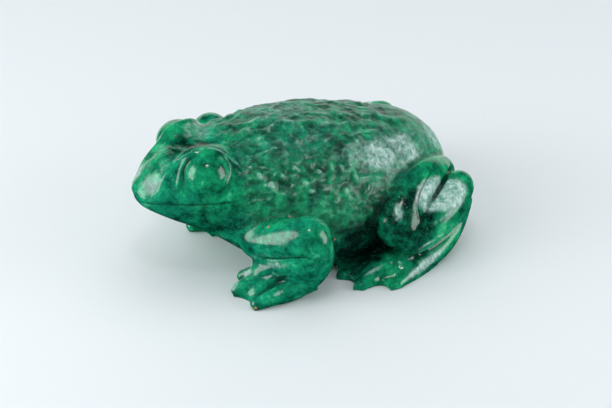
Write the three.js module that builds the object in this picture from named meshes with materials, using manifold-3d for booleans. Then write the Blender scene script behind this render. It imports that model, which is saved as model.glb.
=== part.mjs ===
// A toad carved from one green stone, crouching on its belly and four feet.
// Millimetres, +Z up. The toad faces -Y and its left side is +X.
// The origin lies on the table, under the middle of the belly's flat underside.

import * as THREE from 'three';
import { LoftGeometry } from 'three/addons/geometries/LoftGeometry.js';
import { mergeVertices } from 'three/addons/utils/BufferGeometryUtils.js';
import Module from 'manifold-3d';

const { clamp, smoothstep } = THREE.MathUtils;
const wasm = await Module();
wasm.setup();

// The stone
const stoneColour = 0x1d6b48;
const stoneRoughness = 0.22;

// Everything below the table is cut away, so belly and soles share one plane.
const tableCut = { size: 200, depth: 20 };

// Head and trunk in one loft from the snout to the rump.
// Each station is [y, halfWidth, top, widest, bottom, upperPower, lowerPower].
const trunk = {
  stations: [
    [-40.0, 1.4, 24.2, 23.2, 22.0, 2.0, 2.0],
    [-39.0, 4.2, 25.0, 22.6, 20.0, 2.2, 2.0],
    [-36.6, 7.0, 26.0, 22.2, 18.2, 2.4, 2.0],
    [-33.0, 9.8, 27.6, 22.2, 15.8, 2.6, 2.0],
    [-28.0, 12.6, 29.8, 22.0, 12.8, 2.7, 2.0],
    [-22.0, 14.6, 32.0, 21.0, 8.6, 2.4, 2.1],
    [-16.0, 16.6, 34.2, 18.0, 3.6, 2.2, 2.2],
    [-8.0, 19.0, 35.4, 14.0, -1.6, 2.1, 2.4],
    [0.0, 20.4, 35.4, 12.0, -2.4, 2.1, 2.6],
    [8.0, 20.8, 34.0, 11.0, -2.6, 2.1, 2.6],
    [16.0, 20.2, 32.0, 10.5, -2.4, 2.1, 2.6],
    [24.0, 18.4, 29.4, 10.5, -2.2, 2.1, 2.4],
    [31.0, 15.2, 26.8, 11.0, -1.4, 2.1, 2.3],
    [36.0, 10.6, 23.0, 12.0, 1.4, 2.1, 2.2],
    [38.6, 5.8, 18.8, 13.0, 6.4, 2.0, 2.0],
    [39.4, 1.4, 15.0, 13.2, 11.6, 2.0, 2.0],
  ],
  sections: 40,
  points: 34,
};

// The back is left as hewn, in shallow facets that fade out on the head and low on the flanks.
const hewn = { depth: 0.7, fromY: -26, fullY: -18, fromZ: 10, fullZ: 20 };

// Eyelids and eyeballs stand up from the top of the head.
const lid = { centre: [7.4, -24.0, 28.0], radii: [5.4, 8.0, 6.2] };
const eye = { centre: [9.0, -25.0, 29.0], radius: 4.5 };
const brow = [
  [6.4, -30.2, 30.6, 0.8, 0.8],
  [7.6, -25.4, 34.2, 0.9, 0.9],
  [10.0, -19.4, 31.0, 0.9, 0.9],
  [14.2, -16.3, 27.6, 0.7, 0.7],
];

// The mouth is a groove cut along the jaw from the snout's tip to behind the eye.
const mouth = [
  [-0.6, -40.1, 21.6, 0.6, 0.6],
  [3.6, -39.1, 21.9, 0.6, 0.6],
  [8.6, -34.8, 23.0, 0.7, 0.7],
  [12.4, -28.8, 23.4, 0.8, 0.8],
  [14.5, -22.6, 23.4, 0.8, 0.8],
  [15.8, -18.6, 23.8, 0.6, 0.6],
];

// Limbs are rows of [x, y, z, halfAcross, halfThick] along their length.
const upperArm = [
  [15.0, -14.6, 14.6, 5.4, 6.0],
  [21.4, -12.6, 16.6, 5.6, 5.6],
  [27.0, -8.2, 17.2, 5.4, 5.6],
];
const forearm = [
  [27.2, -7.4, 14.6, 4.8, 4.8],
  [24.2, -6.6, 7.6, 4.6, 5.2],
  [21.4, -11.0, 3.2, 5.4, 4.2],
];
const palm = { centre: [19.4, -12.0, 1.6], radii: [6.8, 8.4, 4.2] };
const fingers = [
  [[16.6, -12.6, 2.6, 2.2, 2.2], [13.6, -18.6, 1.4, 1.9, 1.8]],
  [[18.6, -14.0, 2.6, 2.8, 2.4], [17.8, -22.4, 1.0, 2.0, 1.9]],
  [[22.4, -12.4, 2.0, 2.8, 2.6], [24.6, -20.4, 0.8, 2.2, 2.0]],
];

// The right hand is carved nearer to the chest than the left one.
const rightHandShift = [-3.6, 2.0];

const thigh = [
  [12.4, 33.0, 16.4, 4.0, 4.0],
  [16.8, 24.6, 16.4, 5.6, 6.0],
  [21.6, 16.4, 11.0, 6.0, 6.2],
];
const shank = [
  [24.8, 19.0, 8.4, 3.8, 4.4],
  [24.2, 27.2, 12.0, 3.6, 5.0],
  [19.2, 34.8, 15.4, 3.6, 4.2],
];
const foot = [
  [18.4, 35.4, 11.2, 3.4, 3.8],
  [22.6, 30.8, 5.2, 3.4, 4.0],
  [26.0, 22.6, 2.4, 4.0, 2.8],
];
const toes = [
  [[27.2, 20.6, 2.0, 2.4, 2.4], [31.0, 11.8, 0.8, 1.4, 1.4]],
  [[26.6, 18.0, 2.2, 2.2, 2.2], [27.6, 3.8, 0.8, 1.4, 1.4]],
  [[24.0, 18.0, 2.0, 2.2, 2.2], [21.8, 2.6, 0.8, 1.4, 1.4]],
];
const digitFacets = { steps: 3, points: 8, domes: 2 };
const instep = { centre: [23.8, 15.4, 0.6], radii: [5.6, 10.0, 4.4] };

// Webs are plates on the table. Each curve is [bendX, bendY, x, y], from one tip to the next.
const webThickness = 1.8;
const handWeb = {
  start: [23.4, -4.6],
  curves: [
    [18.0, -3.6, 14.6, -7.0],
    [11.8, -13.0, 12.4, -19.6],
    [15.2, -18.0, 17.2, -23.6],
    [20.8, -19.4, 25.0, -21.8],
    [25.2, -12.0, 23.4, -4.6],
  ],
};
const footWeb = {
  start: [26.0, 26.0],
  curves: [
    [30.4, 19.0, 31.4, 10.6],
    [25.6, 10.2, 27.4, 2.8],
    [23.2, 5.4, 21.6, 1.6],
    [18.4, 3.6, 13.0, 4.0],
    [12.0, 16.0, 26.0, 26.0],
  ],
};

// A function that runs smoothly through rows of numbers, spaced by their distance apart.
function through(rows) {
  const places = [0];
  for (let i = 1; i < rows.length; i++) {
    const step = Math.hypot(...rows[i].map((value, k) => value - rows[i - 1][k]));
    places.push(places[i - 1] + step);
  }
  const last = places[places.length - 1];
  const curve = new THREE.CubicInterpolant(places, rows.flat(), rows[0].length);
  return (t) => Array.from(curve.evaluate(t * last));
}

// A fixed scatter of numbers from 0 to 1, one for each pair of whole numbers.
function scatter(i, j) {
  const wave = Math.sin(i * 12.9898 + j * 78.233) * 43758.5453;
  return wave - Math.floor(wave);
}

// The trunk's sections are superellipses with their own power above and below the widest line.
// A hewn point is pulled in towards the middle of its section.
function trunkGeometry() {
  const station = through(trunk.stations);
  const sections = [];
  for (let i = 0; i <= trunk.sections; i++) {
    const [y, halfWidth, top, widest, bottom, upperPower, lowerPower] = station(i / trunk.sections);
    const ring = [];
    for (let j = 0; j < trunk.points; j++) {
      const angle = (2 * Math.PI * j) / trunk.points;
      const c = Math.cos(angle);
      const s = Math.sin(angle);
      const power = s > 0 ? upperPower : lowerPower;
      const rise = s > 0 ? top - widest : widest - bottom;
      const x = -halfWidth * Math.sign(c) * Math.abs(c) ** (2 / power);
      const z = widest + rise * Math.sign(s) * Math.abs(s) ** (2 / power);
      const onBack = smoothstep(y, hewn.fromY, hewn.fullY) * smoothstep(z, hewn.fromZ, hewn.fullZ);
      const keep = 1 - (onBack * hewn.depth * scatter(i, j)) / Math.hypot(x, z - widest);
      ring.push(new THREE.Vector3(x * keep, y, widest + (z - widest) * keep));
    }
    sections.push(ring);
  }
  return new LoftGeometry(sections, { capStart: true, capEnd: true });
}

// A limb is an oval section carried along a path, with a domed end of a few rings at each end.
// Its width runs square to the path and to the direction that it faces.
function limbGeometry(rows, { steps = 6, points = 10, domes = 3, facing = [0, 0, 1] } = {}) {
  const at = through(rows);
  const front = new THREE.Vector3(...facing);
  const sections = [];
  for (let i = -domes; i <= steps + domes; i++) {
    const t = clamp(i / steps, 0, 1);
    const [x, y, z, across, thick] = at(t);
    const ahead = at(Math.min(t + 0.01, 1));
    const behind = at(Math.max(t - 0.01, 0));
    const along = new THREE.Vector3(ahead[0] - behind[0], ahead[1] - behind[1], ahead[2] - behind[2]).normalize();
    const side = new THREE.Vector3().crossVectors(along, front).normalize();
    const up = new THREE.Vector3().crossVectors(along, side);
    const over = Math.max(-i, i - steps, 0) / domes;
    const lean = 0.94 * over;
    const shrink = Math.sqrt(1 - lean * lean);
    const out = Math.sign(i - steps / 2) * lean * Math.min(across, thick);
    const ring = [];
    for (let j = 0; j < points; j++) {
      const angle = (2 * Math.PI * j) / points;
      ring.push(
        new THREE.Vector3(x, y, z)
          .addScaledVector(along, out)
          .addScaledVector(side, across * shrink * Math.cos(angle))
          .addScaledVector(up, thick * shrink * Math.sin(angle)),
      );
    }
    sections.push(ring);
  }
  return new LoftGeometry(sections, { capStart: true, capEnd: true });
}

function ballGeometry(centre, radii, across = 12, down = 8) {
  return new THREE.SphereGeometry(1, across, down).scale(...radii).translate(...centre);
}

// A web's outline is a chain of bends, scalloped between its tips.
function webGeometry({ start, curves }) {
  const outline = new THREE.Shape();
  outline.moveTo(...start);
  for (const curve of curves) {
    outline.quadraticCurveTo(...curve);
  }
  return new THREE.ExtrudeGeometry(outline, { depth: webThickness, bevelEnabled: false, curveSegments: 5 });
}

// A closed geometry as a solid.
function solid(geometry) {
  const bare = new THREE.BufferGeometry();
  bare.setAttribute('position', geometry.getAttribute('position'));
  bare.setIndex(geometry.index);
  const merged = mergeVertices(bare, 1e-4);
  const triVerts = new Uint32Array(merged.index.array);
  const vertProperties = merged.attributes.position.array;
  return new wasm.Manifold(new wasm.Mesh({ numProp: 3, vertProperties, triVerts }));
}

// The same rows at another place on the table.
function movedBy(rows, [moveX, moveY]) {
  return rows.map(([x, y, ...others]) => [x + moveX, y + moveY, ...others]);
}

// What one side adds to the trunk, modelled on the left.
function sideForms(handShift) {
  return [
    ballGeometry(lid.centre, lid.radii),
    ballGeometry(eye.centre, [eye.radius, eye.radius, eye.radius]),
    limbGeometry(brow, { steps: 6, points: 6, domes: 1 }),
    limbGeometry(upperArm),
    limbGeometry([...forearm.slice(0, -1), ...movedBy(forearm.slice(-1), handShift)], { facing: [0, -1, 0] }),
    ballGeometry(palm.centre, palm.radii).translate(...handShift, 0),
    ...fingers.map((rows) => limbGeometry(movedBy(rows, handShift), digitFacets)),
    limbGeometry(thigh, { points: 12 }),
    limbGeometry(shank),
    limbGeometry(foot),
    ...toes.map((rows) => limbGeometry(rows, digitFacets)),
    ballGeometry(instep.centre, instep.radii),
    webGeometry(handWeb).translate(...handShift, 0),
    webGeometry(footWeb),
  ];
}

function toadGeometry() {
  let body = solid(trunkGeometry());
  for (const form of sideForms([0, 0])) {
    body = body.add(solid(form));
  }
  for (const form of sideForms(rightHandShift)) {
    body = body.add(solid(form).mirror([1, 0, 0]));
  }
  const groove = solid(limbGeometry(mouth, { steps: 8, points: 6, domes: 1 }));
  body = body.subtract(groove).subtract(groove.mirror([1, 0, 0]));
  const { size, depth } = tableCut;
  const below = new THREE.BoxGeometry(size, size, depth).translate(0, 0, -depth / 2);
  body = body.subtract(solid(below));
  const { vertProperties, triVerts } = body.getMesh();
  const geometry = new THREE.BufferGeometry();
  geometry.setAttribute('position', new THREE.BufferAttribute(vertProperties, 3));
  geometry.setIndex(new THREE.BufferAttribute(triVerts, 1));
  geometry.computeVertexNormals();
  return geometry;
}

const stone = new THREE.MeshStandardMaterial({ color: stoneColour, roughness: stoneRoughness, metalness: 0 });
const toad = new THREE.Mesh(toadGeometry(), stone);
toad.name = 'toad';

const figurine = new THREE.Group();
figurine.add(toad);

export default figurine;
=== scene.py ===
import math

import bpy
import numpy as np
from mathutils import Matrix, Vector


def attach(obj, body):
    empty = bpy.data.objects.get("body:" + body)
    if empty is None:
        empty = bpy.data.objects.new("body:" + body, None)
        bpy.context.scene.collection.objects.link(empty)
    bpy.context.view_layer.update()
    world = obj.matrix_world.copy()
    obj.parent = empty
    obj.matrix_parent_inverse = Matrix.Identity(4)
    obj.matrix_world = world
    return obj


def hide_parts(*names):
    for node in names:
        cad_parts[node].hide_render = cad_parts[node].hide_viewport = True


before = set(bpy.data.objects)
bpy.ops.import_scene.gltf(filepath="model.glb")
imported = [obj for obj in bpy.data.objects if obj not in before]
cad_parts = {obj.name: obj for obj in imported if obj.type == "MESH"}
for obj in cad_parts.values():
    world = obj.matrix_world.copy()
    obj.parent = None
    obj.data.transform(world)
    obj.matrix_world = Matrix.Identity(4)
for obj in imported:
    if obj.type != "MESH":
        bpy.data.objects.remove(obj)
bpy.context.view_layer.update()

# A toad carved from one mottled green stone, crouching on its belly and four feet.
# Shapes are worked out in millimetres and turned to metres when the mesh is made.
# The toad faces -Y and its left side is +X.

metresPerMm = 0.001
sceneCollection = bpy.context.scene.collection


# Camera at the photograph's viewing angle
camera = {
    "azimuth": 63.7,
    "elevation": 31.0,
    "distance": 500.0,
    "target": (-0.4, 4.0, 8.1),
    "lens": 122.2,
    "sensor": 36.0,
}


def awayFrom(azimuth, elevation):
    # The direction from the object to a place seen at these angles, in degrees.
    a, e = math.radians(azimuth), math.radians(elevation)
    return Vector((math.sin(a) * math.cos(e), -math.cos(a) * math.cos(e), math.sin(e)))


def aimed(place, target):
    # Stands at the place and looks at the target, with its top upwards.
    back = (Vector(place) - Vector(target)).normalized()
    turn = back.to_track_quat("Z", "Y").to_matrix().to_4x4()
    return Matrix.Translation(Vector(place)) @ turn


def makeCamera(settings):
    data = bpy.data.cameras.new("camera")
    data.lens = settings["lens"]
    data.sensor_width = settings["sensor"]
    data.clip_start = 0.01
    holder = bpy.data.objects.new("camera", data)
    target = Vector(settings["target"]) * metresPerMm
    back = awayFrom(settings["azimuth"], settings["elevation"])
    holder.matrix_world = aimed(target + back * settings["distance"] * metresPerMm, target)
    sceneCollection.objects.link(holder)
    bpy.context.scene.camera = holder


makeCamera(camera)
print("camera ready")


# Surfaces: each is a grid of points worked out from two parameters, closed into a skin
def through(rows, t):
    # A smooth run through rows of numbers, spaced by their distance apart: cubic pieces
    # that share the slope of the parabola through each row and its neighbours.
    rows = np.asarray(rows, float)
    knots = np.concatenate([[0.0], np.cumsum(np.linalg.norm(np.diff(rows, axis=0), axis=1))])
    slopes = np.gradient(rows, knots, axis=0, edge_order=min(2, len(rows) - 1))
    at = np.clip(t, 0, 1) * knots[-1]
    k = np.clip(np.searchsorted(knots, at, side="right") - 1, 0, len(knots) - 2)
    span = (knots[k + 1] - knots[k])[:, None]
    s = (at - knots[k])[:, None] / span
    start = rows[k] * (1 + 2 * s) * (1 - s) ** 2 + slopes[k] * span * s * (1 - s) ** 2
    end = rows[k + 1] * s * s * (3 - 2 * s) + slopes[k + 1] * span * s * s * (s - 1)
    return start + end


def ringSkin(grid):
    # Closes a grid of rings with a point in the middle of its first and last ring.
    rings, around = grid.shape[:2]
    points = np.concatenate([grid.reshape(-1, 3), grid[:1].mean(1), grid[-1:].mean(1)])
    i, j = np.meshgrid(np.arange(rings - 1), np.arange(around), indexing="ij")
    a, b = i * around + j, i * around + (j + 1) % around
    walls = np.stack([a, b, b + around, a + around], -1).reshape(-1, 4)
    j = np.arange(around)
    first = np.stack([(j + 1) % around, j, np.full(around, rings * around)], -1)
    lastRow = (rings - 1) * around
    last = np.stack([lastRow + j, lastRow + (j + 1) % around, np.full(around, rings * around + 1)], -1)
    return points, walls.tolist() + first.tolist() + last.tolist()


def trunkSkin(stations, sections=120, around=120):
    # Superellipse rings along the body: x goes with the cosine and z with the sine of the
    # angle, each to its own power, and z is measured from the widest line.
    rows = through(stations, np.linspace(0, 1, sections + 1))
    y, halfWidth, top, widest, bottom, upperPower, lowerPower = rows.T[:, :, None]
    angle = np.linspace(0, 2 * np.pi, around, endpoint=False)[None]
    c, s = np.cos(angle), np.sin(angle)
    power = np.where(s > 0, upperPower, lowerPower)
    rise = np.where(s > 0, top - widest, widest - bottom)
    x = halfWidth * np.sign(c) * np.abs(c) ** (2 / power)
    z = widest + rise * np.sign(s) * np.abs(s) ** (2 / power)
    return ringSkin(np.stack([x, y + 0 * x, z], -1))


def limbSkin(rows, facing=(0, 0, 1), steps=30, around=28, domes=8):
    # An oval carried along a path, square to it, with half an ellipsoid over each end.
    # Rows are x, y, z, half the width and half the thickness.
    t = np.concatenate([np.zeros(domes), np.linspace(0, 1, steps + 1), np.ones(domes)])
    over = np.concatenate([np.arange(-domes, 0), np.zeros(steps + 1), np.arange(1, domes + 1)])
    domeReach = 0.98  # a dome stops just short of its pole
    lean = np.sin(over / domes * np.pi / 2 * domeReach)[:, None]
    tangentStep = 0.01
    place, across, thick = np.split(through(rows, t), [3, 4], axis=1)
    along = through(rows, t + tangentStep)[:, :3] - through(rows, t - tangentStep)[:, :3]
    along /= np.linalg.norm(along, axis=1, keepdims=True)
    side = np.cross(along, facing)
    side /= np.linalg.norm(side, axis=1, keepdims=True)
    up = np.cross(along, side)
    place = place + along * lean * np.minimum(across, thick)
    shrink = np.sqrt(1 - lean ** 2)
    angle = np.linspace(0, 2 * np.pi, around, endpoint=False)
    wide = (side * across * shrink)[:, None] * np.cos(angle)[None, :, None]
    high = (up * thick * shrink)[:, None] * np.sin(angle)[None, :, None]
    return ringSkin(place[:, None] + wide + high)


def ballSkin(centre, radii, around=40, rings=28):
    # An ellipsoid by latitude and longitude.
    lat = np.linspace(-np.pi / 2, np.pi / 2, rings + 2)[1:-1, None]
    lon = np.linspace(0, 2 * np.pi, around, endpoint=False)[None]
    unit = np.stack([np.cos(lat) * np.cos(lon), np.cos(lat) * np.sin(lon), np.sin(lat) + 0 * lon], -1)
    return ringSkin(np.asarray(centre) + unit * np.asarray(radii))


def plateSkin(start, curves, low, high, steps=12):
    # A plate whose outline is a chain of parabolas, each from the last tip past a bend to
    # the next tip. The outline is drawn low, high and shrunk to the middle of both faces.
    t = np.linspace(0, 1, steps, endpoint=False)[:, None]
    outline, tip = [], np.asarray(start, float)
    for bendX, bendY, x, y in curves:
        bend, end = np.array([bendX, bendY]), np.array([x, y])
        outline.append(tip * (1 - t) ** 2 + 2 * bend * t * (1 - t) + end * t * t)
        tip = end
    outline = np.concatenate(outline)
    height = np.array([low, high])[:, None, None] + np.zeros((2, len(outline), 1))
    return ringSkin(np.concatenate([np.stack([outline] * 2), height], -1))


def mirrored(skin):
    points, faces = skin
    return points * (-1, 1, 1), [face[::-1] for face in faces]


def joined(skins):
    points, faces, count = [], [], 0
    for skinPoints, skinFaces in skins:
        points.append(skinPoints)
        faces += [[corner + count for corner in face] for face in skinFaces]
        count += len(skinPoints)
    return np.concatenate(points), faces


# The toad's masses, with the solid's rows
trunk = {
    # y, half width, top, widest, bottom, upper power, lower power
    "stations": [
        [-40.0, 1.4, 24.2, 23.2, 22.0, 2.0, 2.0],
        [-39.0, 4.2, 25.0, 22.6, 20.0, 2.2, 2.0],
        [-36.6, 7.0, 26.0, 22.2, 18.2, 2.4, 2.0],
        [-33.0, 9.8, 27.6, 22.2, 15.8, 2.6, 2.0],
        [-28.0, 12.6, 29.8, 22.0, 12.8, 2.7, 2.0],
        [-22.0, 14.6, 32.0, 21.0, 8.6, 2.4, 2.1],
        [-16.0, 16.6, 34.2, 18.0, 3.6, 2.2, 2.2],
        [-8.0, 19.0, 35.4, 14.0, -1.6, 2.1, 2.4],
        [0.0, 20.4, 35.4, 12.0, -2.4, 2.1, 2.6],
        [8.0, 20.8, 34.0, 11.0, -2.6, 2.1, 2.6],
        [16.0, 20.2, 32.0, 10.5, -2.4, 2.1, 2.6],
        [24.0, 18.4, 29.4, 10.5, -2.2, 2.1, 2.4],
        [31.0, 15.2, 26.8, 11.0, -1.4, 2.1, 2.3],
        [36.0, 10.6, 23.0, 12.0, 1.4, 2.1, 2.2],
        [38.6, 5.8, 18.8, 13.0, 6.4, 2.0, 2.0],
        [39.4, 1.4, 15.0, 13.2, 11.6, 2.0, 2.0],
    ],
}

# Limb rows are x, y, z, half the width, half the thickness
head = {
    "lid": ([6.8, -25.0, 28.6], [5.0, 6.8, 5.8]),
    "snoutRidge": [
        [2.6, -37.4, 22.6, 2.2, 2.2],
        [4.2, -35.2, 23.8, 2.7, 2.4],
        [5.2, -32.6, 26.8, 2.8, 3.0],
        [5.6, -29.8, 29.4, 3.0, 3.0],
        [6.2, -26.5, 30.8, 3.4, 3.4],
    ],
    "snoutFill": [
        [0.0, -36.6, 22.8, 5.0, 3.2],
        [0.0, -33.4, 25.6, 6.2, 4.0],
        [0.0, -29.6, 28.0, 7.0, 4.2],
    ],
    "lidBridge": ([0.0, -24.6, 28.0], [9.0, 7.0, 4.2]),
    # Where the carver cut the cheek flat: a place on the flat, its normal, and where it is cut
    "cheekFlat": {
        "place": [7.8, -31.9, 27.2],
        "normal": [0.87, -0.48, 0.47],
        "centre": [10.0, -29.0, 26.0],
        "reach": 9.0,
    },
    "eye": ([8.2, -25.3, 28.7], [5.3, 5.3, 5.3]),
    # Width and depth of cuts, with ridges as negative depths
    "browLine": (0.6, -0.6),
    "lip": (0.45, 0.4),
    "brow": [
        [8.3, -34.0, 24.4, 0.6, 0.6],
        [7.4, -31.9, 27.4, 0.7, 0.7],
        [6.2, -30.2, 31.0, 0.8, 0.8],
        [6.5, -27.9, 33.2, 0.8, 0.8],
        [6.9, -24.6, 33.9, 0.8, 0.8],
        [8.0, -21.6, 32.8, 0.8, 0.8],
        [10.0, -18.9, 30.2, 0.8, 0.8],
        [14.0, -16.8, 27.6, 0.6, 0.6],
    ],
    "mouth": [
        [-0.6, -40.1, 21.6],
        [3.6, -39.1, 21.9],
        [8.6, -34.8, 23.0],
        [12.4, -28.8, 23.4],
        [14.5, -22.6, 23.4],
        [15.8, -18.6, 23.8],
    ],
}

frontLimb = {
    "upperArm": [
        [14.0, -15.4, 11.6, 4.6, 4.6],
        [20.6, -13.2, 14.4, 4.7, 4.8],
        [27.4, -8.8, 17.4, 5.0, 5.3],
    ],
    "forearm": [
        [27.4, -8.0, 14.6, 4.8, 4.7],
        [25.2, -7.4, 8.4, 4.4, 4.7],
        [21.4, -11.0, 3.6, 5.2, 4.2],
    ],
    "wrist": [
        [25.8, -9.4, 10.8, 4.0, 4.0],
        [21.4, -13.0, 7.8, 3.6, 3.4],
        [16.8, -15.6, 5.0, 3.4, 2.8],
    ],
    "palm": ([19.4, -13.6, 1.6], [6.6, 7.6, 4.0]),
    "fingers": [
        [[16.4, -14.6, 4.6, 2.0, 2.0], [13.0, -18.9, 1.8, 1.5, 1.6]],
        [[20.4, -14.2, 4.6, 2.6, 2.4], [18.6, -18.6, 3.2, 2.4, 2.0], [16.9, -22.3, 1.5, 1.8, 1.5]],
        [[24.4, -11.6, 4.4, 2.6, 2.4], [24.2, -16.4, 2.6, 2.4, 2.0], [23.8, -20.6, 1.2, 1.9, 1.5]],
    ],
    "web": {
        "start": (23.4, -4.6),
        "curves": [
            (18.0, -3.6, 14.6, -7.0),
            (11.8, -13.0, 12.4, -19.6),
            (15.2, -18.0, 17.2, -23.6),
            (20.8, -19.4, 25.0, -21.8),
            (25.2, -12.0, 23.4, -4.6),
        ],
    },
    # The right hand is carved nearer to the chest
    "rightShift": (-3.6, 2.0),
}

hindLimb = {
    "thigh": [
        [12.4, 33.0, 16.4, 4.0, 4.0],
        [16.8, 24.6, 16.4, 5.6, 6.0],
        [21.8, 17.0, 11.3, 5.9, 6.1],
    ],
    "shank": [
        [24.8, 19.0, 8.4, 3.8, 4.4],
        [24.2, 27.2, 12.0, 3.6, 5.0],
        [19.2, 34.8, 15.4, 3.6, 4.2],
    ],
    "foot": [
        [18.4, 35.4, 11.2, 3.2, 3.8],
        [21.6, 30.6, 5.2, 3.0, 4.2],
        [24.8, 23.0, 2.6, 3.4, 3.0],
    ],
    "toes": [
        [[26.4, 20.6, 2.0, 2.2, 2.2], [30.6, 12.4, 0.8, 1.3, 1.3]],
        [[26.0, 18.0, 2.2, 2.0, 2.2], [27.4, 4.6, 0.8, 1.1, 1.2]],
        [[24.0, 18.0, 2.0, 2.0, 2.2], [21.8, 3.2, 0.8, 1.1, 1.2]],
    ],
    "instep": ([23.8, 15.4, 0.6], [5.6, 10.0, 4.4]),
    "web": {
        "start": (26.0, 26.0),
        "curves": [
            (30.4, 19.0, 31.6, 10.2),
            (27.2, 11.6, 27.4, 2.4),
            (24.0, 6.4, 21.4, 1.0),
            (18.4, 3.6, 13.0, 4.0),
            (12.0, 16.0, 26.0, 26.0),
        ],
    },
}
webThickness = 1.6

# Grooves, and ridges where the depth is negative: path, width, depth, and whether the hand carries it
carving = {
    "underArm": (
        [[19.1, -17.6, 9.9], [23.7, -15.8, 11.6], [27.9, -13.5, 13.5], [30.8, -11.4, 14.6],
         [31.8, -8.9, 13.4]],
        0.5, 0.5, True,
    ),
    "elbowDimple": (
        [[31.2, -10.4, 20.1], [31.8, -10.7, 18.4], [31.8, -10.7, 16.3]],
        1.7, 0.35, False,
    ),
    "fingerGapInner": (
        [[17.3, -21.7, 3.6], [19.1, -20.0, 4.6], [20.7, -17.7, 5.7], [23.6, -15.8, 8.2]],
        0.7, 0.45, True,
    ),
    "fingerGapOuter": (
        [[22.7, -21.2, 2.2], [23.1, -18.8, 3.6], [23.8, -15.6, 5.3], [26.5, -13.4, 8.1]],
        0.8, 0.55, True,
    ),
    "shankEdge": (
        [[17.1, 29.5, 21.4], [20.5, 25.5, 20.8], [23.1, 22.2, 19.2], [24.9, 20.5, 17.1],
         [26.3, 20.3, 14.3], [27.9, 20.8, 12.4]],
        0.5, 0.35, False,
    ),
    "shankRim": (
        [[13.9, 34.9, 19.5], [18.5, 29.9, 20.2], [21.6, 25.7, 19.4], [23.9, 22.9, 17.6],
         [25.5, 21.5, 15.2], [27.4, 21.6, 13.5]],
        1.0, -0.4, False,
    ),
    "shankSlit": (
        [[14.3, 35.8, 18.4], [19.4, 30.5, 18.0], [22.2, 27.1, 17.1], [24.4, 24.5, 16.3]],
        0.5, 0.6, False,
    ),
    "footGroove": (
        [[27.6, 15.7, 3.8], [26.8, 20.4, 4.5], [26.3, 24.9, 5.4], [24.7, 30.1, 6.7],
         [22.8, 34.4, 8.6]],
        0.8, 0.5, False,
    ),
    "footRidge": (
        [[27.5, 17.3, 6.2], [28.7, 21.1, 8.6], [28.1, 25.3, 9.1], [26.1, 30.0, 9.4]],
        0.6, -0.35, False,
    ),
    "toeRidge": (
        [[27.4, 2.7, 1.2], [26.0, 6.6, 2.1], [26.3, 10.0, 3.7], [25.7, 14.3, 4.7]],
        0.7, -0.4, False,
    ),
    "webDipOuter": (
        [[28.3, 8.0, 1.6], [27.9, 11.3, 2.9], [27.4, 15.3, 4.0]],
        1.5, 0.5, False,
    ),
    "webDipInner": (
        [[22.8, 3.2, 1.5], [22.6, 6.2, 2.4], [23.3, 9.5, 4.1]],
        1.3, 0.4, False,
    ),
}
# Drops on the flank: path and width
drops = [
    ([[14.4, -12.4, 26.8], [16.3, -12.1, 24.0]], 0.77),
    ([[14.2, -9.6, 28.1], [15.4, -9.2, 25.7]], 0.63),
    ([[14.0, -6.2, 29.2], [15.2, -6.3, 27.5]], 0.72),
    ([[15.9, -4.3, 26.0], [17.2, -5.0, 24.2]], 1.01),
    ([[13.4, -2.1, 29.2], [15.2, -3.0, 27.4]], 0.72),
    ([[17.4, -3.5, 23.9], [18.1, -3.6, 22.5]], 0.77),
    ([[17.3, 0.1, 24.3], [18.5, -0.5, 21.9]], 1.11),
    ([[14.3, 3.4, 28.0], [17.1, 1.5, 24.3]], 0.72),
    ([[17.9, 5.2, 23.0], [19.4, 4.8, 19.9]], 0.82),
    ([[16.4, 8.0, 25.5], [18.2, 8.2, 21.9]], 0.63),
    ([[17.8, 11.8, 21.8], [19.2, 8.8, 19.6]], 0.63),
    ([[15.2, -0.7, 27.4], [16.6, -0.8, 26.0]], 0.72),
    ([[14.9, 5.4, 27.0], [16.7, 5.0, 25.1]], 0.67),
    ([[16.7, -8.5, 24.4], [17.4, -8.1, 22.0]], 0.82),
    ([[19.0, 2.1, 21.2], [19.7, 2.0, 18.9]], 0.77),
    ([[12.4, -15.0, 29.1], [14.5, -14.5, 26.9]], 0.72),
]
# Pale streaks, some in the stone and some painted highlights: path, width, strength, and whether the hand
# carries it
streaksAndHighlights = [
    # painted highlight: a leaf-shaped reflection on the thigh
    ([[22.2, 16.6, 18.8], [24.8, 15.3, 16.5], [26.8, 14.3, 13.2]], 1.5, 0.8, False),
    # along the foot: partly a pale band in the stone, partly painted highlight
    ([[31.5, 11.0, 1.2], [30.7, 15.1, 1.8], [29.0, 19.8, 2.3], [27.4, 24.9, 3.8],
      [24.9, 30.6, 4.2]], 1.3, 1.1, False),
    # wrist
    ([[16.7, -17.8, 7.5], [21.5, -16.5, 9.2], [25.6, -14.4, 10.8], [29.5, -11.8, 12.6]], 1.2, 0.65, True),
    # inner finger
    ([[13.1, -20.3, 2.0], [14.6, -19.0, 3.4], [18.8, -18.3, 6.1]], 1.3, 1.0, True),
    # painted highlight along the top of the outer finger
    ([[25.7, -18.6, 3.1], [26.1, -16.5, 3.9], [26.6, -13.9, 4.5]], 0.6, 0.8, True),
    # painted highlight along the edge of the brow
    ([[6.9, -30.8, 32.1], [7.1, -28.4, 34.4], [7.5, -24.8, 35.1], [8.7, -21.9, 34.1],
      [10.9, -19.3, 31.2], [13.6, -16.6, 28.0]], 0.45, 0.7, False),
    # heel band
    ([[27.9, 17.4, 10.0], [28.2, 22.5, 12.6], [27.2, 28.3, 14.3], [23.6, 35.3, 14.6]], 0.8, 0.6, False),
    # painted highlight along the toe ridge
    ([[27.4, 2.7, 1.2], [26.0, 6.6, 2.1], [26.3, 10.0, 3.7], [25.7, 14.3, 4.7]], 0.5, 0.7, False),
    # painted highlight along the foot ridge
    ([[27.5, 17.3, 6.2], [28.7, 21.1, 8.6], [28.1, 25.3, 9.1]], 0.4, 0.75, False),
    # neck bump
    ([[14.1, -12.8, 27.3], [15.1, -12.6, 25.9], [16.0, -12.2, 24.7]], 0.9, 0.8, False),
]


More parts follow.
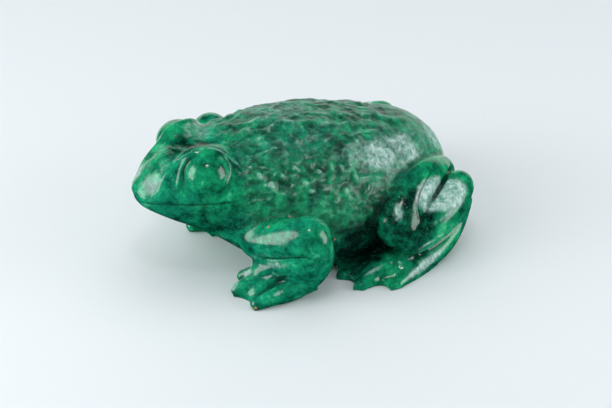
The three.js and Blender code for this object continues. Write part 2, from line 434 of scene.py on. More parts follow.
def shifted(rows, move):
    return [[row[0] + move[0], row[1] + move[1]] + list(row[2:]) for row in rows]


def sideMasses(move):
    # The masses that run smoothly into the trunk, on the left, with the hand moved by so much.
    limb = frontLimb
    wrist = limb["forearm"][:-1] + shifted(limb["forearm"][-1:], move)
    return [
        ballSkin(*head["lid"]),
        limbSkin(head["snoutRidge"]),
        limbSkin(head["snoutFill"]),
        ballSkin(*head["lidBridge"]),
        limbSkin(limb["upperArm"]),
        limbSkin(wrist, facing=(0, -1, 0)),
        limbSkin(limb["wrist"][:1] + shifted(limb["wrist"][1:], move)),
        ballSkin(*shifted([limb["palm"][0]], move), limb["palm"][1]),
    ]


def sideDetails(move):
    # The smaller forms, which keep a crisp line round them.
    limb, hind = frontLimb, hindLimb
    web = limb["web"]
    handStart = (web["start"][0] + move[0], web["start"][1] + move[1])
    handCurves = [(a + move[0], b + move[1], c + move[0], d + move[1]) for a, b, c, d in web["curves"]]
    return (
        [ballSkin(*head["eye"])]
        + [limbSkin(shifted(finger, move)) for finger in limb["fingers"]]
        + [plateSkin(handStart, handCurves, -1.0, webThickness)]
        + [limbSkin(hind["thigh"]), limbSkin(hind["shank"]), limbSkin(hind["foot"])]
        + [limbSkin(toe) for toe in hind["toes"]]
        + [ballSkin(*hind["instep"])]
        + [plateSkin(hind["web"]["start"], hind["web"]["curves"], -1.0, webThickness)]
    )


def remeshed(points, faces, voxel):
    # One skin of small squares round everything that the closed skins fill.
    mesh = bpy.data.meshes.new("rough")
    mesh.from_pydata(points.tolist(), [], faces)
    holder = bpy.data.objects.new("rough", mesh)
    sceneCollection.objects.link(holder)
    modifier = holder.modifiers.new("fuse", "REMESH")
    modifier.mode = "VOXEL"
    modifier.voxel_size = voxel
    modifier.adaptivity = 0
    evaluated = holder.evaluated_get(bpy.context.evaluated_depsgraph_get())
    fused = evaluated.to_mesh()
    newPoints = np.empty(len(fused.vertices) * 3)
    fused.vertices.foreach_get("co", newPoints)
    corners = np.empty(len(fused.loops), int)
    fused.loops.foreach_get("vertex_index", corners)
    quads = corners.reshape(-1, 4)
    evaluated.to_mesh_clear()
    bpy.data.objects.remove(holder)
    bpy.data.meshes.remove(mesh)
    return newPoints.reshape(-1, 3), quads


def pairedWith(path, side):
    return np.asarray(path, float) * ([side] + [1] * (len(path[0]) - 1))


class Skin:
    # A fused skin as arrays: points, squares and the edges that join them.
    def __init__(self, points, quads):
        self.points = points
        self.quads = quads
        edges = np.concatenate([quads[:, [k, (k + 1) % 4]] for k in range(4)])
        edges = np.unique(np.sort(edges, axis=1), axis=0)
        self.start, self.end = edges.T
        self.neighbours = np.bincount(edges.ravel(), minlength=len(points))[:, None]

    def gather(self, values):
        # The mean of each point's neighbours.
        total = np.empty_like(values)
        for k in range(values.shape[1]):
            total[:, k] = np.bincount(self.start, values[self.end, k], len(values))
            total[:, k] += np.bincount(self.end, values[self.start, k], len(values))
        return total / self.neighbours

    def normals(self):
        # Each point's normal is the sum of its squares' normals, by area.
        corner = self.points[self.quads]
        face = np.cross(corner[:, 2] - corner[:, 0], corner[:, 3] - corner[:, 1])
        total = np.empty_like(self.points)
        for k in range(3):
            spread = np.repeat(face[:, k], 4)
            total[:, k] = np.bincount(self.quads.ravel(), spread, len(self.points))
        return total / np.linalg.norm(total, axis=1, keepdims=True)

    def smoothed(self, values, rounds, share=0.5):
        for _ in range(rounds):
            values = values + (self.gather(values) - values) * share
        return values

    def fillValleys(self, rounds, share=0.5):
        # Points in a valley move out along their normal, and ridges stay.
        for _ in range(rounds):
            normal = self.normals()
            pull = ((self.gather(self.points) - self.points) * normal).sum(1, keepdims=True)
            self.points = self.points + normal * np.maximum(pull, 0) * share

    def settle(self):
        # Nothing goes below the table.
        self.points[:, 2] = np.maximum(self.points[:, 2], 0)

    def planed(self, origin, normal, centre, reach, fullShare=0.7):
        # Stone that stands proud of a flat is cut back to it, less and less towards its reach.
        normal = np.asarray(normal) / np.linalg.norm(normal)
        proud = np.maximum((self.points - origin) @ normal, 0)
        near = np.linalg.norm(self.points - centre, axis=1) / reach
        self.points = self.points - np.outer(proud * fade(near, fullShare, 1), normal)

    def along(self, path, width, endShare=0.15, steps=24, deepest=2.0):
        # 1 on a path and less to its sides, as a bell of this width measured across the
        # surface. It fades at both ends, and skin far above or below the path is left out.
        line = through(path, np.linspace(0, 1, steps + 1))[:, :3]
        reach = 3 * width + deepest
        inside = (self.points > line.min(0) - reach) & (self.points < line.max(0) + reach)
        index = np.flatnonzero(inside.all(1))
        points, normal = self.points[index], self.normals()[index]
        best = np.full(len(index), np.inf)
        place = np.zeros(len(index))
        for k in range(steps):
            step = line[k + 1] - line[k]
            share = np.clip((points - line[k]) @ step / (step @ step), 0, 1)
            gap = points - line[k] - share[:, None] * step
            lift = (gap * normal).sum(1)
            apart = (gap ** 2).sum(1) - lift ** 2 + np.maximum(np.abs(lift) - deepest, 0) ** 2
            closer = apart < best
            best = np.where(closer, apart, best)
            place = np.where(closer, (k + share) / steps, place)
        profile = np.zeros(len(self.points))
        ends = np.minimum(np.minimum(place, 1 - place) / endShare, 1)
        profile[index] = np.exp(-best / width ** 2) * ends
        return profile

    def cut(self, path, width, depth):
        # A groove along a path, or a ridge where the depth is negative.
        self.points = self.points - self.normals() * (self.along(path, width) * depth)[:, None]


def fade(value, start, end):
    # 1 up to the start, 0 from the end, and a smooth step between.
    t = np.clip((value - start) / (end - start), 0, 1)
    return 1 - t * t * (3 - 2 * t)


# Fusing: all the skins become one, as one stone is
fusing = {"massVoxel": 0.55, "massFillet": 30, "voxel": 0.36, "fillet": 5, "smooth": 2}

masses = [trunkSkin(trunk["stations"])] + sideMasses((0, 0))
masses += [mirrored(mass) for mass in sideMasses(frontLimb["rightShift"])]
mass = Skin(*remeshed(*joined(masses), fusing["massVoxel"]))
mass.points = mass.smoothed(mass.points, fusing["smooth"])
mass.fillValleys(fusing["massFillet"])
flat = head["cheekFlat"]
for side in (1, -1):
    place, normal, centre = pairedWith([flat["place"], flat["normal"], flat["centre"]], side)
    mass.planed(place, normal, centre, flat["reach"])
print("masses:", len(mass.points), "points")

details = [(mass.points, mass.quads.tolist())] + sideDetails((0, 0))
details += [mirrored(detail) for detail in sideDetails(frontLimb["rightShift"])]
skin = Skin(*remeshed(*joined(details), fusing["voxel"]))
skin.settle()
skin.points = skin.smoothed(skin.points, fusing["smooth"])
skin.fillValleys(fusing["fillet"])
for side in (1, -1):
    skin.cut(pairedWith(head["brow"], side), *head["browLine"])
    skin.cut(pairedWith(head["mouth"], side), *head["lip"])
    for path, width, depth, onHand in carving.values():
        move = frontLimb["rightShift"] if onHand and side < 0 else (0, 0)
        skin.cut(pairedWith(shifted(path, move), side), width, depth)
skin.settle()
print("fused skin:", len(skin.points), "points", len(skin.quads), "squares")


# Relief: how the carver left the back and the flanks
def scatter(cells, salt):
    # Fixed numbers from 0 to 1, one for each cell of whole numbers, which large primes mix.
    mixed = (cells[..., 0] * 73856093) ^ (cells[..., 1] * 19349663) ^ (cells[..., 2] * 83492791)
    mixed = (mixed ^ salt * 2654435) & 0x7FFFFFFF
    mixed = (mixed ^ mixed >> 13) * 1274126177 & 0x7FFFFFFF
    mixed = (mixed ^ mixed >> 15) * 747796405 & 0x7FFFFFFF
    return (mixed >> 11 & 0xFFFF) / 0xFFFF


def softNoise(places, size, salt=0):
    # Numbers from 0 to 1 that drift smoothly: fixed ones at the corners of cells, blended between.
    at = places / size
    base = np.floor(at).astype(int)
    t = at - base
    t = t * t * (3 - 2 * t)
    total = np.zeros(len(at))
    for corner in np.ndindex(2, 2, 2):
        total += np.prod(np.where(corner, t, 1 - t), axis=1) * scatter(base + corner, salt)
    return total


def drift(places, size, amount, salt):
    # Moves places about smoothly, so that cells get wavy edges.
    moves = [softNoise(places, size, salt + k) - 0.5 for k in range(3)]
    return places + np.stack(moves, -1) * amount


def cellGap(places, size, salt):
    # How far the nearest scattered spot is, in cells, with one spot in each cell.
    at = places / size
    base = np.floor(at).astype(int)
    nearest = np.full(len(at), np.inf)
    for step in np.ndindex(3, 3, 3):
        cell = base + step - 1
        spot = cell + np.stack([scatter(cell, salt + k) for k in range(3)], -1)
        nearest = np.minimum(nearest, np.linalg.norm(at - spot, axis=1))
    return nearest


def trunkLevel(points, sections=400):
    # 1 on the trunk's own surface, less inside and more outside, by the rings that made it.
    rows = through(trunk["stations"], np.linspace(0, 1, sections))
    halfWidth, top, widest, bottom, upper, lower = [
        np.interp(points[:, 1], rows[:, 0], rows[:, k]) for k in range(1, 7)
    ]
    high = points[:, 2] > widest
    power = np.where(high, upper, lower)
    rise = np.where(high, top - widest, widest - bottom)
    wide = (np.abs(points[:, 0]) / halfWidth) ** power
    tall = (np.abs(points[:, 2] - widest) / rise) ** power
    return (wide + tall) ** (1 / power)


relief = {
    "scoopCell": np.array([3.0, 6.8, 3.0]),  # leaf-shaped scoops, longest along the body
    "scoopDepth": 0.7,
    "scoopDrift": (5.0, 3.0, 11),
    "scoopSeed": 21,
    "dentCell": np.array([1.3, 2.2, 1.3]),
    "dentDepth": 0.26,
    "dentDrift": (2.5, 1.4, 31),
    "dentSeed": 41,
    "hollowShare": 0.75,  # a hollow's half width, as a share of a cell
    "dropHeight": 0.45,
    "dropTaper": 0.45,
    # Where each begins and ends: by trunkLevel, by -y, by y or by z
    "trunkEnds": (1.03, 1.09),
    "neckEnds": (17.0, 21.0),
    "rumpBegins": (22.0, 30.0),
    "scoopsBegin": (19.0, 25.0),
    "dentsBegin": (9.0, 14.0),
    "hewnBegins": (8.0, 13.0),
    "tableEdge": (0.3, 2.0),
    "rumpScoops": 0.3,
    "rumpDents": 0.5,
    "lastSmooth": (1, 0.3),
    "wearAndShadeRounds": 6,
    "wearAndShadeHeight": 0.13,  # how proud a point is of its neighbourhood where its crest is painted palest, as wear and painted highlight
}

x, y, z = skin.points.T
onTrunk = fade(trunkLevel(skin.points), *relief["trunkEnds"]) * fade(-y, *relief["neckEnds"])
rump = 1 - fade(y, *relief["rumpBegins"])
scoopShare = onTrunk * (1 - fade(z, *relief["scoopsBegin"])) * (1 - (1 - relief["rumpScoops"]) * rump)
dentShare = onTrunk * (1 - fade(z, *relief["dentsBegin"])) * (1 - (1 - relief["rumpDents"]) * rump)
hewn = onTrunk * (1 - fade(z, *relief["hewnBegins"]))
gap = cellGap(drift(skin.points, *relief["scoopDrift"]), relief["scoopCell"], relief["scoopSeed"])
scoop = 1 - np.clip(gap / relief["hollowShare"], 0, 1) ** 2
gap = cellGap(drift(skin.points, *relief["dentDrift"]), relief["dentCell"], relief["dentSeed"])
dent = 1 - np.clip(gap / relief["hollowShare"], 0, 1) ** 2
drop = np.zeros(len(skin.points))
for side in (1, -1):
    for path, width in drops:
        drop = np.maximum(drop, skin.along(pairedWith(path, side), width, relief["dropTaper"]))
depth = scoopShare * scoop * relief["scoopDepth"] + dentShare * dent * relief["dentDepth"]
depth = depth * (1 - drop) - drop * relief["dropHeight"]
depth *= 1 - fade(z, *relief["tableEdge"])
skin.points = skin.points - skin.normals() * depth[:, None]
skin.points = skin.smoothed(skin.points, *relief["lastSmooth"])
skin.settle()
# How proud each point is of its neighbourhood: crests are painted pale from it, partly as wear and partly as
# painted highlight, and hollows dark as painted shade
wearAndShade = ((skin.points - skin.smoothed(skin.points, relief["wearAndShadeRounds"])) * skin.normals()).sum(1)
wearAndShade = np.clip(wearAndShade / relief["wearAndShadeHeight"], -1, 1)
print("relief carved")


def trimmed(points, quads, values, most):
    # Squares in plain places are merged until no more triangles are left than the most.
    mesh = bpy.data.meshes.new("fine")
    mesh.from_pydata(points.tolist(), [], quads.tolist())
    for name, numbers in values.items():
        mesh.attributes.new(name, "FLOAT", "POINT").data.foreach_set("value", numbers.astype(np.float32))
    holder = bpy.data.objects.new("fine", mesh)
    sceneCollection.objects.link(holder)
    modifier = holder.modifiers.new("trim", "DECIMATE")
    modifier.ratio = min(1.0, most / (2 * len(quads)))
    evaluated = holder.evaluated_get(bpy.context.evaluated_depsgraph_get())
    fewer = evaluated.to_mesh()
    newPoints = np.empty(len(fewer.vertices) * 3)
    fewer.vertices.foreach_get("co", newPoints)
    corners = np.empty(len(fewer.loops), int)
    fewer.loops.foreach_get("vertex_index", corners)
    sizes = np.empty(len(fewer.polygons), int)
    fewer.polygons.foreach_get("loop_total", sizes)
    newValues = {}
    for name in values:
        numbers = np.empty(len(fewer.vertices), np.float32)
        fewer.attributes[name].data.foreach_get("value", numbers)
        newValues[name] = numbers
    evaluated.to_mesh_clear()
    bpy.data.objects.remove(holder)
    bpy.data.meshes.remove(mesh)
    return newPoints.reshape(-1, 3), corners, sizes, newValues


# Meshes
def makePiece(name, points, corners, sizes, material, values=None):
    mesh = bpy.data.meshes.new(name)
    mesh.vertices.add(len(points))
    mesh.vertices.foreach_set("co", (points * metresPerMm).astype(np.float32).ravel())
    mesh.loops.add(len(corners))
    mesh.loops.foreach_set("vertex_index", corners.astype(np.int32))
    mesh.polygons.add(len(sizes))
    starts = np.concatenate([[0], np.cumsum(sizes)[:-1]])
    mesh.polygons.foreach_set("loop_start", starts.astype(np.int32))
    mesh.polygons.foreach_set("use_smooth", np.ones(len(sizes), bool))
    for key, numbers in (values or {}).items():
        mesh.attributes.new(key, "FLOAT", "POINT").data.foreach_set("value", numbers.astype(np.float32))
    mesh.update(calc_edges=True)
    mesh.validate()
    mesh.materials.append(material)
    piece = bpy.data.objects.new(name, mesh)
    sceneCollection.objects.link(piece)
    return piece


def linear(hexColour):
    # Turns an sRGB hex colour to linear.
    channels = [int(hexColour[k:k + 2], 16) / 255 for k in (1, 3, 5)]
    return tuple(c / 12.92 if c <= 0.04045 else ((c + 0.055) / 1.055) ** 2.4 for c in channels) + (1.0,)


def makeMaterial(name):
    material = bpy.data.materials.new(name)
    material.use_nodes = True
    material.node_tree.nodes.clear()
    return material, material.node_tree


def addNode(tree, kind, settings=None, links=None):
    # Adds a node, sets its properties, sockets and colour stops, and links what feeds it. A
    # socket goes by its name, or by its number where names repeat.
    node = tree.nodes.new(kind)
    for key, value in (settings or {}).items():
        if key == "stops":
            stops = node.color_ramp.elements
            for k, (position, colour) in enumerate(value):
                stop = stops[k] if k < 2 else stops.new(position)
                stop.position = position
                stop.color = colour
        elif isinstance(key, int) or key in node.inputs:
            node.inputs[key].default_value = value
        else:
            setattr(node, key, value)
    for key, source in (links or {}).items():
        tree.links.new(source, node.inputs[key])
    return node


def perMm(millimetres):
    # The scale that gives a pattern's features this size, on coordinates in metres.
    return 1 / (millimetres * metresPerMm)


# Jade-like serpentine, ground and wax-polished. The stone lets light in a little way, so it
# looks deep and wet: dark and emerald greens run into each other, with whitish clouds, pale
# dust where the chisel bruised it, and a few rust-brown specks. The polish gives sharp
# reflections on the head and limbs and broken ones on the hewn back.
stoneLook = {
    # Greens from the darkest to the palest, each at its level
    "greens": [(0.46, "#022019"), (0.58, "#045038"), (0.70, "#0a7a55"), (0.84, "#14a26b"), (1.0, "#55cb9a")],
    "cloudAndHighlightColours": [(0.32, "#3d8068"), (0.46, "#7fb0a1"), (0.62, "#c6ddd8")],
    "tealTint": (0.9, 0.94, 1.12, 1.0),
    "ridge": "#9ccab8",
    "hollowShade": "#02382a",
    "speck": "#bf8350",
    # Pattern sizes in mm
    "patchSize": 15.0,
    "patchEdge": (0.4, 0.6),
    "mottleSize": 3.4,
    "streakSize": 2.0,
    "streakStretch": (1.0, 0.22, 1.0),
    "grainSize": 0.8,
    "fraySize": 2.2,
    "frayStretch": (1.0, 1.0, 0.65),
    "cloudGrainSize": 1.1,
    "dustSize": 0.45,
    "dustEdge": (0.62, 0.74),
    "dustMost": 0.38,
    "dustPatchSize": 7.0,
    "dustPatchEdge": (0.48, 0.65),
    # Where crests are painted pale, partly as wear and partly as painted highlight, and hollows are painted
    # dark as shade, as shares of the crest height
    "crestEdge": (0.1, 0.9),
    "crestMost": 0.7,
    "crestBreaks": (0.4, 0.62),
    "hollowShadeEdge": (-0.1, -0.9),
    "hollowShadeMost": 0.8,
    "speckSpacing": 5.0,
    "speckRadius": 0.075,  # as a share of the spacing
    "speckShare": 0.06,  # how many of the cells have one
    "pitSize": 0.5,
    "pitHeight": 0.25,
    "pitStrength": 0.5,
    "pitOnHewn": 0.9,
    "pitOnPolished": 0.06,
    # How much each part adds to the level of green
    "grainShare": 0.32,
    "streakShare": 0.15,
    "toneAndShadeShare": 0.14,
    "frayShare": 0.9,
    "cloudAndHighlightEdge": (0.72, 1.32),
    "ior": 1.6,
    "roughness": 0.16,
    "hewnExtraRoughness": 0.14,
    "cloudAndHighlightExtraRoughness": 0.2,
    "translucency": 0.3,
    "lightColour": (0.35, 1.0, 0.65),
    "lightReach": 2.0,
}


def makeStone(look):
    material, tree = makeMaterial("polished_mottled_green_stone")
    place = addNode(tree, "ShaderNodeTexCoord").outputs["Object"]
    wearAndShade = addNode(tree, "ShaderNodeAttribute", {"attribute_name": "wearAndShade"}).outputs["Fac"]
    cloudAndHighlight = addNode(tree, "ShaderNodeAttribute", {"attribute_name": "cloudAndHighlight"}).outputs["Fac"]
    hewn = addNode(tree, "ShaderNodeAttribute", {"attribute_name": "hewn"}).outputs["Fac"]
    toneAndShade = addNode(tree, "ShaderNodeAttribute", {"attribute_name": "toneAndShade"}).outputs["Fac"]

    # Greens: mottles, streaks along the body, fine crystals and the tone, with its painted shade, add up to
    # one level
    settings = {"Scale": perMm(look["mottleSize"]), "Detail": 8.0, "Roughness": 0.68, "Distortion": 0.2}
    mottle = addNode(tree, "ShaderNodeTexNoise", settings, {"Vector": place}).outputs["Fac"]
    settings = {"Scale": perMm(look["grainSize"]), "Detail": 5.0, "Roughness": 0.7}
    grain = addNode(tree, "ShaderNodeTexNoise", settings, {"Vector": place}).outputs["Fac"]
    settings = {"Scale": look["streakStretch"]}
    lengthwise = addNode(tree, "ShaderNodeMapping", settings, {"Vector": place}).outputs[0]
    settings = {"Scale": perMm(look["streakSize"]), "Detail": 5.0, "Roughness": 0.65, "Distortion": 0.5}
    streak = addNode(tree, "ShaderNodeTexNoise", settings, {"Vector": lengthwise}).outputs["Fac"]
    settings = {"operation": "MULTIPLY_ADD", 1: look["grainShare"]}
    level = addNode(tree, "ShaderNodeMath", settings, {0: grain, 2: mottle}).outputs[0]
    settings = {"operation": "MULTIPLY_ADD", 1: look["streakShare"]}
    level = addNode(tree, "ShaderNodeMath", settings, {0: streak, 2: level}).outputs[0]
    settings = {"operation": "MULTIPLY_ADD", 1: look["toneAndShadeShare"]}
    level = addNode(tree, "ShaderNodeMath", settings, {0: toneAndShade, 2: level}).outputs[0]
    stops = [(position, linear(colour)) for position, colour in look["greens"]]
    colour = addNode(tree, "ShaderNodeValToRGB", {"stops": stops}, {0: level}).outputs["Color"]

    # Some patches are bluer
    settings = {"Scale": perMm(look["patchSize"]), "Detail": 3.0, "Roughness": 0.5, "Distortion": 0.3}
    patch = addNode(tree, "ShaderNodeTexNoise", settings, {"Vector": place}).outputs["Fac"]
    low, high = look["patchEdge"]
    settings = {"interpolation_type": "SMOOTHSTEP", "From Min": low, "From Max": high}
    patch = addNode(tree, "ShaderNodeMapRange", settings, {"Value": patch}).outputs["Result"]
    settings = {"data_type": "RGBA", "blend_type": "MULTIPLY", 7: look["tealTint"]}
    colour = addNode(tree, "ShaderNodeMix", settings, {0: patch, 6: colour}).outputs[2]

    # Whitish clouds and painted highlights, with frayed edges and greener veins inside
    settings = {"Scale": look["frayStretch"]}
    hanging = addNode(tree, "ShaderNodeMapping", settings, {"Vector": place}).outputs[0]
    settings = {"Scale": perMm(look["fraySize"]), "Detail": 6.0, "Roughness": 0.72, "Distortion": 0.6}
    fray = addNode(tree, "ShaderNodeTexNoise", settings, {"Vector": hanging}).outputs["Fac"]
    settings = {"operation": "MULTIPLY_ADD", 1: look["frayShare"]}
    cloudAndHighlightLevel = addNode(tree, "ShaderNodeMath", settings, {0: fray, 2: cloudAndHighlight}).outputs[0]
    low, high = look["cloudAndHighlightEdge"]
    settings = {"interpolation_type": "SMOOTHSTEP", "From Min": low, "From Max": high}
    cloudAndHighlightShare = addNode(tree, "ShaderNodeMapRange", settings, {"Value": cloudAndHighlightLevel}).outputs["Result"]
    settings = {"Scale": perMm(look["cloudGrainSize"]), "Detail": 5.0, "Roughness": 0.7, "Distortion": 0.8}
    cloudGrain = addNode(tree, "ShaderNodeTexNoise", settings, {"Vector": hanging}).outputs["Fac"]
    stops = [(position, linear(cloudAndHighlightColour)) for position, cloudAndHighlightColour in look["cloudAndHighlightColours"]]
    cloudAndHighlightColour = addNode(tree, "ShaderNodeValToRGB", {"stops": stops}, {0: cloudGrain}).outputs["Color"]
    links = {0: cloudAndHighlightShare, 6: colour, 7: cloudAndHighlightColour}
    colour = addNode(tree, "ShaderNodeMix", {"data_type": "RGBA"}, links).outputs[2]

    # Pale dust of tiny grains, in some places only
    settings = {"Scale": perMm(look["dustSize"]), "Detail": 2.0, "Roughness": 0.5}
    dust = addNode(tree, "ShaderNodeTexNoise", settings, {"Vector": place}).outputs["Fac"]
    settings = {"interpolation_type": "SMOOTHSTEP", "To Max": look["dustMost"]}
    settings["From Min"], settings["From Max"] = look["dustEdge"]
    dust = addNode(tree, "ShaderNodeMapRange", settings, {"Value": dust}).outputs["Result"]
    settings = {"Scale": perMm(look["dustPatchSize"]), "Detail": 3.0, "Roughness": 0.5}
    dusty = addNode(tree, "ShaderNodeTexNoise", settings, {"Vector": place}).outputs["Fac"]
    low, high = look["dustPatchEdge"]
    settings = {"interpolation_type": "SMOOTHSTEP", "From Min": low, "From Max": high}
    dusty = addNode(tree, "ShaderNodeMapRange", settings, {"Value": dusty}).outputs["Result"]
    dust = addNode(tree, "ShaderNodeMath", {"operation": "MULTIPLY"}, {0: dust, 1: dusty}).outputs[0]
    settings = {"data_type": "RGBA", 7: linear(look["ridge"])}
    colour = addNode(tree, "ShaderNodeMix", settings, {0: dust, 6: colour}).outputs[2]

    # Crests are painted pale here and there, partly as wear and partly as painted highlight, and hollows are
    # painted dark as painted shade
    settings = {"interpolation_type": "SMOOTHSTEP", "To Max": look["crestMost"]}
    settings["From Min"], settings["From Max"] = look["crestEdge"]
    ridge = addNode(tree, "ShaderNodeMapRange", settings, {"Value": wearAndShade}).outputs["Result"]
    ridge = addNode(tree, "ShaderNodeMath", {"operation": "MULTIPLY"}, {0: ridge, 1: hewn}).outputs[0]
    low, high = look["crestBreaks"]
    settings = {"interpolation_type": "SMOOTHSTEP", "From Min": low, "From Max": high}
    broken = addNode(tree, "ShaderNodeMapRange", settings, {"Value": fray}).outputs["Result"]
    ridge = addNode(tree, "ShaderNodeMath", {"operation": "MULTIPLY"}, {0: ridge, 1: broken}).outputs[0]
    settings = {"data_type": "RGBA", 7: linear(look["ridge"])}
    colour = addNode(tree, "ShaderNodeMix", settings, {0: ridge, 6: colour}).outputs[2]
    settings = {"To Max": look["hollowShadeMost"]}
    settings["From Min"], settings["From Max"] = look["hollowShadeEdge"]
    hollowShade = addNode(tree, "ShaderNodeMapRange", settings, {"Value": wearAndShade}).outputs["Result"]
    settings = {"data_type": "RGBA", 7: linear(look["hollowShade"])}
    colour = addNode(tree, "ShaderNodeMix", settings, {0: hollowShade, 6: colour}).outputs[2]

    # Rust-brown specks in a few of the cells
    settings = {"Scale": perMm(look["speckSpacing"]), "Randomness": 1.0}
    cells = addNode(tree, "ShaderNodeTexVoronoi", settings, {"Vector": place})
    chosen = addNode(tree, "ShaderNodeSeparateColor", None, {"Color": cells.outputs["Color"]}).outputs["Red"]
    settings = {"operation": "LESS_THAN", 1: look["speckRadius"]}
    speck = addNode(tree, "ShaderNodeMath", settings, {0: cells.outputs["Distance"]}).outputs[0]
    settings = {"operation": "LESS_THAN", 1: look["speckShare"]}
    few = addNode(tree, "ShaderNodeMath", settings, {0: chosen}).outputs[0]
    speck = addNode(tree, "ShaderNodeMath", {"operation": "MULTIPLY"}, {0: speck, 1: few}).outputs[0]
    settings = {"data_type": "RGBA", 7: linear(look["speck"])}
    colour = addNode(tree, "ShaderNodeMix", settings, {0: speck, 6: colour}).outputs[2]

    # The hewn back is rougher and pitted, and the clouds and painted highlights are a little duller
    settings = {"operation": "MULTIPLY_ADD", 1: look["hewnExtraRoughness"], 2: look["roughness"]}
    roughness = addNode(tree, "ShaderNodeMath", settings, {0: hewn}).outputs[0]
    settings = {"operation": "MULTIPLY_ADD", 1: look["cloudAndHighlightExtraRoughness"]}
    roughness = addNode(tree, "ShaderNodeMath", settings, {0: cloudAndHighlightShare, 2: roughness}).outputs[0]
    settings = {"Scale": perMm(look["pitSize"]), "Detail": 4.0, "Roughness": 0.6}
    pits = addNode(tree, "ShaderNodeTexNoise", settings, {"Vector": place}).outputs["Fac"]
    settings = {"operation": "MULTIPLY_ADD", 1: look["pitOnHewn"], 2: look["pitOnPolished"]}
    pitShare = addNode(tree, "ShaderNodeMath", settings, {0: hewn}).outputs[0]
    pits = addNode(tree, "ShaderNodeMath", {"operation": "MULTIPLY"}, {0: pits, 1: pitShare}).outputs[0]
    settings = {"Strength": look["pitStrength"], "Distance": look["pitHeight"] * metresPerMm}
    bump = addNode(tree, "ShaderNodeBump", settings, {"Height": pits}).outputs["Normal"]
    settings = {
        "IOR": look["ior"],
        "Subsurface Weight": look["translucency"],
        "Subsurface Radius": look["lightColour"],
        "Subsurface Scale": look["lightReach"] * metresPerMm,
    }
    links = {"Base Color": colour, "Roughness": roughness, "Normal": bump}
    shader = addNode(tree, "ShaderNodeBsdfPrincipled", settings, links).outputs["BSDF"]
    addNode(tree, "ShaderNodeOutputMaterial", None, {"Surface": shader})
    return material


# Clouds and tones in the stone, with painted highlights among the clouds and painted shade among the tones:
# a place, its reach along x, y and z, and a strength. Paired ones are on both sides. A tone is lighter where
# it is above 0 and darker where it is below.
stonePatches = {
    "pairedCloudsAndHighlights": [
        ([5.4, -36.4, 24.6], [5.0, 4.6, 3.8], 0.2),
        # partly a cloud in the stone, partly a painted highlight on top of the upper arm
        ([25.4, -15.4, 18.2], [4.6, 3.6, 3.2], 0.3),
        ([13.6, 12.0, 25.6], [4.5, 9.0, 5.0], 0.35),
        ([13.0, 20.0, 24.6], [6.5, 9.0, 7.0], 0.5),
        ([9.0, 28.0, 24.4], [7.0, 8.0, 6.0], 0.4),
        ([23.8, 27.4, 17.8], [5.6, 8.6, 5.6], 1.0),
        ([16.9, -22.8, 2.4], [1.6, 1.8, 1.8], 0.6),
    ],
    "singleCloudsAndHighlights": [
        ([0.0, -34.5, 28.5], [12.0, 9.0, 8.0], 0.36),
        ([0.0, 4.0, 33.0], [24.0, 28.0, 11.0], 0.3),
        # painted reflection: a pale patch on the inner slope of the far lid
        ([-3.8, -22.9, 32.8], [4.6, 4.6, 4.0], 0.45),
        ([-4.0, 0.0, 35.4], [7.0, 22.0, 2.6], 0.12),
        ([4.0, 35.0, 21.6], [7.0, 4.0, 5.0], 0.6),
        ([-12.6, 2.0, 27.0], [6.0, 9.0, 6.0], 0.5),
        ([-15.0, -21.0, 19.0], [4.0, 6.0, 5.0], 0.5),
    ],
    "pairedTonesAndShade": [
        # partly dark stone, partly painted shade: darker in the recess low on the flank between the elbow
        # and the foot
        ([21.0, 9.0, 6.0], [5.0, 9.0, 8.0], -1.7),
        ([21.0, 2.0, 9.0], [6.0, 12.0, 8.0], -0.4),
        ([19.5, 12.5, 15.0], [4.0, 5.0, 8.0], -0.6),
        # partly dark stone, partly painted shade: darker under the jaw and on the throat
        ([11.0, -28.0, 17.5], [9.0, 14.0, 5.0], -0.8),
        ([24.0, 18.0, 14.0], [8.0, 9.0, 10.0], -1.3),
        ([27.0, 28.0, 7.0], [6.0, 8.0, 5.0], 0.8),
        ([29.0, -8.0, 17.0], [6.0, 6.0, 8.0], 0.2),
        ([29.6, -10.4, 16.6], [2.6, 2.6, 3.0], -0.7),
    ],
    "singleTonesAndShade": [
        ([-8.0, -27.0, 32.0], [6.0, 7.0, 6.0], 0.3),
        # painted shade: darker in the valley between the eyes
        ([0.0, -27.0, 31.0], [5.5, 6.0, 4.0], -0.9),
        ([0.0, 4.0, 27.0], [30.0, 34.0, 16.0], -0.35),
    ],
    "snoutEdge": (-0.8, -0.2),  # how far behind the cheek's flat the snout's cloud ends
    "headEnds": (-28.0, -26.0),
    "dropCloud": 0.1,
    "streakTaper": 0.45,
    "otherSide": (0.3, 1.0, 9.0),  # paired clouds are this strong and patchy on the right side
    "otherSideSeed": 71,
    "fullShare": 0.5,
    "goneShare": 1.1,
}


def patchField(points, patches):
    # Soft patches added up: each is full in its middle and gone just past its reach.
    full, gone = stonePatches["fullShare"], stonePatches["goneShare"]
    field = np.zeros(len(points))
    for centre, reach, strength in patches:
        away = np.linalg.norm((points - centre) / reach, axis=1)
        field += fade(away, full, gone) * strength
    return field


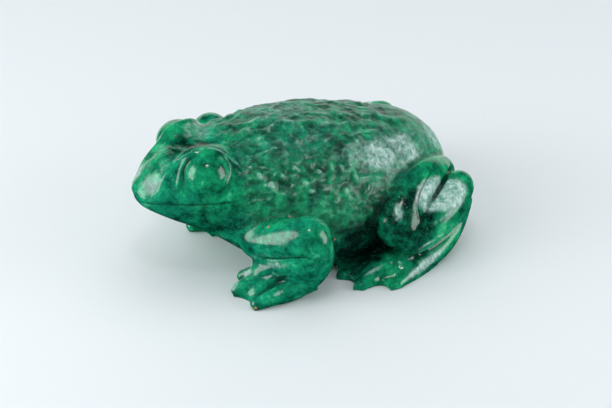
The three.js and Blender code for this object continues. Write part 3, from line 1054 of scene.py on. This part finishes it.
x, y, z = skin.points.T
folded = np.stack([np.abs(x), y, z], -1)
least, extra, patchSize = stonePatches["otherSide"]
patchy = least + extra * softNoise(skin.points, patchSize, stonePatches["otherSideSeed"])
strength = np.where(x > 0, 1, patchy)
cloudAndHighlight = patchField(folded, stonePatches["pairedCloudsAndHighlights"]) * strength
cloudAndHighlight += patchField(skin.points, stonePatches["singleCloudsAndHighlights"])
flatNormal = np.array(flat["normal"]) / np.linalg.norm(flat["normal"])
onSnout = fade((folded - flat["place"]) @ flatNormal, *stonePatches["snoutEdge"])
cloudAndHighlight *= 1 - fade(y, *stonePatches["headEnds"]) * (1 - onSnout)
for side in (1, -1):
    for path, width, strength, onHand in streaksAndHighlights:
        move = frontLimb["rightShift"] if onHand and side < 0 else (0, 0)
        streak = skin.along(pairedWith(shifted(path, move), side), width, stonePatches["streakTaper"])
        cloudAndHighlight = np.maximum(cloudAndHighlight, streak * strength)
cloudAndHighlight = np.maximum(cloudAndHighlight, drop * stonePatches["dropCloud"])
toneAndShade = patchField(folded, stonePatches["pairedTonesAndShade"])
toneAndShade += patchField(skin.points, stonePatches["singleTonesAndShade"])

stone = makeStone(stoneLook)
fineValues = {"wearAndShade": wearAndShade, "cloudAndHighlight": cloudAndHighlight, "hewn": hewn, "toneAndShade": toneAndShade}
mostTriangles = 198000
toadPoints, toadCorners, toadSizes, toadValues = trimmed(skin.points, skin.quads, fineValues, mostTriangles)
toad = makePiece("carvedToad", toadPoints, toadCorners, toadSizes, stone, toadValues)
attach(toad, "root")
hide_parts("toad")
print("toad ready:", len(toadSizes), "faces")


# The floor and the light
floorSettings = {"halfSize": 1500.0, "colour": "#e6ebee"}
floorCorners = np.array([[-1, -1, 0], [1, -1, 0], [1, 1, 0], [-1, 1, 0]]) * floorSettings["halfSize"]
paper, paperTree = makeMaterial("matt_pale_paper")
paperShader = addNode(
    paperTree, "ShaderNodeBsdfPrincipled", {"Base Color": linear(floorSettings["colour"]), "Roughness": 0.6}
)
addNode(paperTree, "ShaderNodeOutputMaterial", None, {"Surface": paperShader.outputs["BSDF"]})
floor = makePiece("floor", floorCorners, np.arange(4), np.array([4]), paper)
floor.visible_glossy = False  # the polish mirrors the lights alone

# Azimuth and elevation as the camera's, distance, width and height in mm, power in watts,
# and whether the polish mirrors it: the strips give the tall highlights, the rest only fills
lights = {
    "leftStrip": (-17.0, 8.0, 380.0, 220.0, 320.0, 0.8, True),
    "rightStrip": (144.0, 8.0, 380.0, 220.0, 320.0, 0.8, True),
    "backPanel": (243.0, 0.0, 900.0, 1600.0, 1040.0, 4.6, True),
    "overheadFill": (243.0, 76.0, 800.0, 900.0, 900.0, 1.7, False),
    "frontFill": (5.0, 32.0, 600.0, 500.0, 400.0, 1.4, False),
    "frontLamp": (62.0, 66.0, 500.0, 60.0, 60.0, 0.2, True),
}


def makeLight(name, azimuth, elevation, distance, width, height, power, mirrored):
    data = bpy.data.lights.new(name, "AREA")
    data.shape = "RECTANGLE"
    data.size = width * metresPerMm
    data.size_y = height * metresPerMm
    data.energy = power
    holder = bpy.data.objects.new(name, data)
    holder.visible_glossy = mirrored
    target = Vector(camera["target"]) * metresPerMm
    holder.matrix_world = aimed(target + awayFrom(azimuth, elevation) * distance * metresPerMm, target)
    sceneCollection.objects.link(holder)


for lightName, lightSettings in lights.items():
    makeLight(lightName, *lightSettings)

world = bpy.data.worlds.new("paleStudio")
bpy.context.scene.world = world
world.use_nodes = True
worldColour = {"colour": "#eef4f8", "strength": 0.5}
background = world.node_tree.nodes["Background"]
background.inputs["Color"].default_value = linear(worldColour["colour"])
background.inputs["Strength"].default_value = worldColour["strength"]
world.cycles_visibility.glossy = False
bpy.context.scene.view_settings.view_transform = "Standard"
print("light ready")
